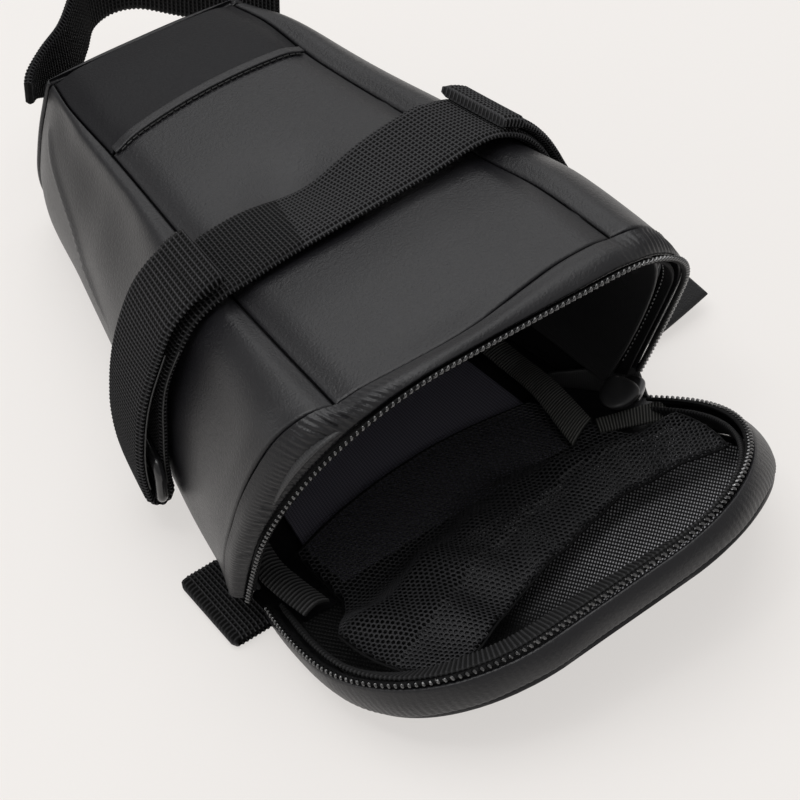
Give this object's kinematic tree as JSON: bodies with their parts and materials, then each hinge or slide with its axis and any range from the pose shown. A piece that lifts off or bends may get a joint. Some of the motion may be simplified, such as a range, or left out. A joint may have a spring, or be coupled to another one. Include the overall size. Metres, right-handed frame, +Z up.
{
  "type": "bicycle saddle bag",
  "caption": "Soft wedge-shaped bicycle saddle bag lying unzipped, lid folded open on a cloth hinge, with a mesh pocket, a rail strap through plastic loops and a seatpost strap.",
  "frame": {"origin": "middle of the whole part's box in plan, on the plane of its flat underside", "axes": "+Z up, +Y from the open rear toward the narrow end and the seatpost strap, +X to the bag's right as seen from the opening's side with the narrow end away"},
  "size_m": [0.1448, 0.2146, 0.0745],
  "materials": {
    "coated_cloth": "matte charcoal cloth with a smooth coated face",
    "coated_cloth_dark": "matte darker charcoal cloth with a smooth coated face",
    "ribbed_tape": "ribbed black woven tape",
    "zip_teeth": "satin black coil",
    "mesh": "black knitted mesh",
    "lining_canvas": "dark plain-weave canvas",
    "lining_smooth": "smooth blue-black woven lining",
    "webbing": "black ribbed webbing",
    "loop_plastic": "glossy black moulded plastic",
    "slider_metal": "dark satin metal with bare worn edges",
    "pull_plastic": "smooth satin black moulded plastic"
  },
  "bodies": {
    "root": {"top_panel": "coated_cloth", "top_front_panel": "coated_cloth_dark", "side_panel_left": "coated_cloth", "side_panel_right": "coated_cloth", "bottom_panel": "coated_cloth", "front_panel": "coated_cloth", "top_hem": "coated_cloth", "rim_band": "coated_cloth", "zip_tape_rim": "ribbed_tape", "zip_teeth_rim": "zip_teeth", "lid_band": "coated_cloth", "zip_teeth_lid": "zip_teeth", "lid_panel": "coated_cloth", "lid_tape": "ribbed_tape", "lid_lining": "lining_canvas", "mesh_pocket": "mesh", "lining_walls": "lining_smooth", "lining_floor": "lining_smooth", "binding_left": "ribbed_tape", "binding_right": "ribbed_tape", "rail_strap": "webbing", "strap_loop_left": "loop_plastic", "strap_loop_right": "loop_plastic", "post_strap": "webbing", "rear_tab_left": "webbing", "rear_tab_right": "webbing", "zip_slider": "slider_metal", "zip_pull": "pull_plastic"}
  },
  "joints": []
}
